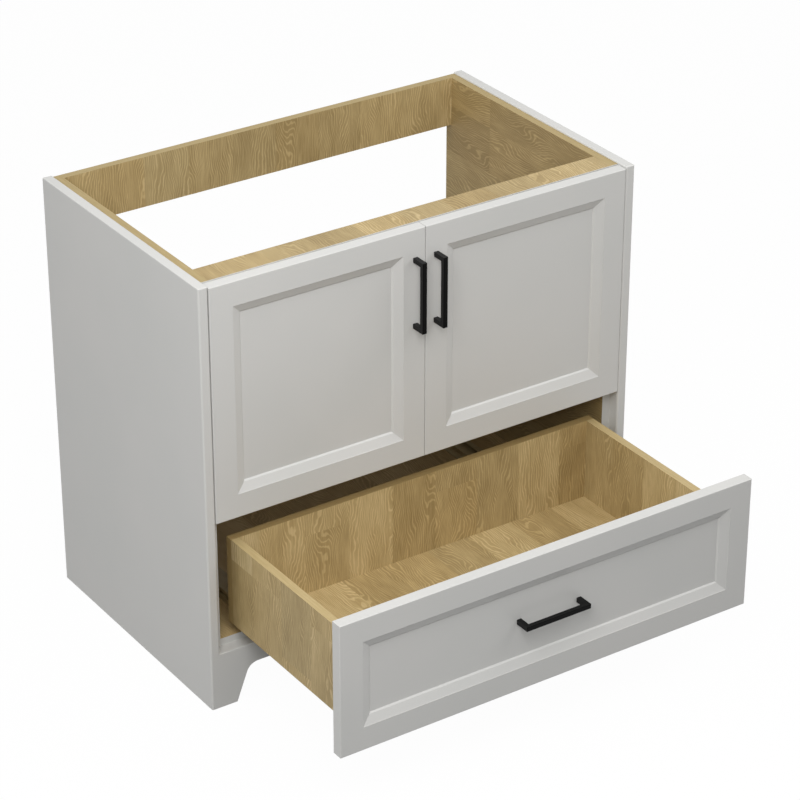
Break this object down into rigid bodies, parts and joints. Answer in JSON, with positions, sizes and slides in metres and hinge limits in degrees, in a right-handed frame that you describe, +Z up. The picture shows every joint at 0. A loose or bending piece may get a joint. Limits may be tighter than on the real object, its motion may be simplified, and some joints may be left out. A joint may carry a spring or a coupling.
{
  "type": "bathroom vanity base cabinet",
  "caption": "Grey lacquered vanity base with an oak-faced carcass, open top and back, a pair of framed doors over a full-width drawer, black bar pulls and shaped front feet.",
  "frame": {"origin": "on the floor, under the middle of the whole part's box as it stands with the drawer drawn", "axes": "+Z up, +Y towards the wall, +X to the right seen from the front"},
  "size_m": [0.914, 0.9572, 0.837],
  "materials": {
    "grey_lacquer": "satin",
    "oak_laminate": "satin",
    "beech_dowel": "matte",
    "black_powder_coat": "matte",
    "nickel_plated_steel": "satin",
    "galvanised_steel": "satin",
    "zinc_plated_screw": "satin",
    "clear_bumper": "satin"
  },
  "bodies": {
    "carcass": {"apron_screws": "zinc_plated_screw", "back_lower_rail": "oak_laminate", "back_top_rail": "oak_laminate", "base_front_rail": "oak_laminate", "base_rear_rail": "oak_laminate", "carcass_bottom": "oak_laminate", "carcass_dowels": "beech_dowel", "carcass_edge_bands": "grey_lacquer", "carcass_side_left": "oak_laminate", "carcass_side_right": "oak_laminate", "divider_shelf": "oak_laminate", "front_apron": "grey_lacquer", "front_top_rail": "oak_laminate", "hinge_arm_lower_left": "nickel_plated_steel", "hinge_arm_lower_right": "nickel_plated_steel", "hinge_arm_pins": "nickel_plated_steel", "hinge_arm_upper_left": "nickel_plated_steel", "hinge_arm_upper_right": "nickel_plated_steel", "hinge_fixing_screws": "zinc_plated_screw", "hinge_plates": "nickel_plated_steel", "side_panel_left": "grey_lacquer", "side_panel_right": "grey_lacquer", "side_panel_screws": "zinc_plated_screw", "slide_cabinet_member_left": "galvanised_steel", "slide_cabinet_member_right": "galvanised_steel", "slide_cabinet_screws": "zinc_plated_screw"},
    "door_left": {"door_bumpers_left": "clear_bumper", "door_left": "grey_lacquer", "door_pull_left": "black_powder_coat", "door_pull_screws_left": "zinc_plated_screw", "hinge_cup_lower_left": "nickel_plated_steel", "hinge_cup_pins_left": "nickel_plated_steel", "hinge_cup_screws_left": "zinc_plated_screw", "hinge_cup_upper_left": "nickel_plated_steel"},
    "door_right": {"door_bumpers_right": "clear_bumper", "door_pull_right": "black_powder_coat", "door_pull_screws_right": "zinc_plated_screw", "door_right": "grey_lacquer", "hinge_cup_lower_right": "nickel_plated_steel", "hinge_cup_pins_right": "nickel_plated_steel", "hinge_cup_screws_right": "zinc_plated_screw", "hinge_cup_upper_right": "nickel_plated_steel"},
    "drawer": {"drawer_back": "oak_laminate", "drawer_bottom": "oak_laminate", "drawer_box_front": "oak_laminate", "drawer_bumpers": "clear_bumper", "drawer_dowels": "beech_dowel", "drawer_front": "grey_lacquer", "drawer_front_screws": "zinc_plated_screw", "drawer_pull": "black_powder_coat", "drawer_pull_screws": "zinc_plated_screw", "drawer_side_left": "oak_laminate", "drawer_side_right": "oak_laminate", "slide_drawer_member_left": "galvanised_steel", "slide_drawer_member_right": "galvanised_steel", "slide_drawer_screws": "zinc_plated_screw"},
    "hinge_links_left": {"hinge_links_left": "nickel_plated_steel"},
    "hinge_links_right": {"hinge_links_right": "nickel_plated_steel"},
    "slide_middle_left": {"slide_middle_member_left": "galvanised_steel"},
    "slide_middle_right": {"slide_middle_member_right": "galvanised_steel"}
  },
  "joints": [
    {"name": "door_left_links_turn", "type": "hinge", "parent": "carcass", "child": "hinge_links_left", "pos_m": [-0.4008, -0.0304, 0], "axis": [0, 0, 1], "range_deg": [0, 57.6]},
    {"name": "door_left_swing", "type": "hinge", "parent": "hinge_links_left", "child": "door_left", "pos_m": [-0.4258, -0.0474, 0], "axis": [0, 0, -1], "range_deg": [0, 147.6]},
    {"name": "door_right_links_turn", "type": "hinge", "parent": "carcass", "child": "hinge_links_right", "pos_m": [0.4008, -0.0304, 0], "axis": [0, 0, -1], "range_deg": [0, 57.6]},
    {"name": "door_right_swing", "type": "hinge", "parent": "hinge_links_right", "child": "door_right", "pos_m": [0.4258, -0.0474, 0], "axis": [0, 0, 1], "range_deg": [0, 147.6]},
    {"name": "drawer_slide", "type": "slide", "parent": "carcass", "child": "drawer", "axis": [0, -1, 0], "range_m": [-0.3917, 0.0133]},
    {"name": "slide_middle_left_travel", "type": "slide", "parent": "carcass", "child": "slide_middle_left", "axis": [0, -1, 0], "range_m": [-0.1961, 0.0068]},
    {"name": "slide_middle_right_travel", "type": "slide", "parent": "carcass", "child": "slide_middle_right", "axis": [0, -1, 0], "range_m": [-0.1961, 0.0068]}
  ],
  "couplings": [
    {"joint": "door_left_links_turn", "follows": "door_left_swing", "ratio": 0.39},
    {"joint": "door_right_links_turn", "follows": "door_right_swing", "ratio": 0.39},
    {"joint": "slide_middle_left_travel", "follows": "drawer_slide", "ratio": 0.5},
    {"joint": "slide_middle_right_travel", "follows": "drawer_slide", "ratio": 0.5}
  ]
}
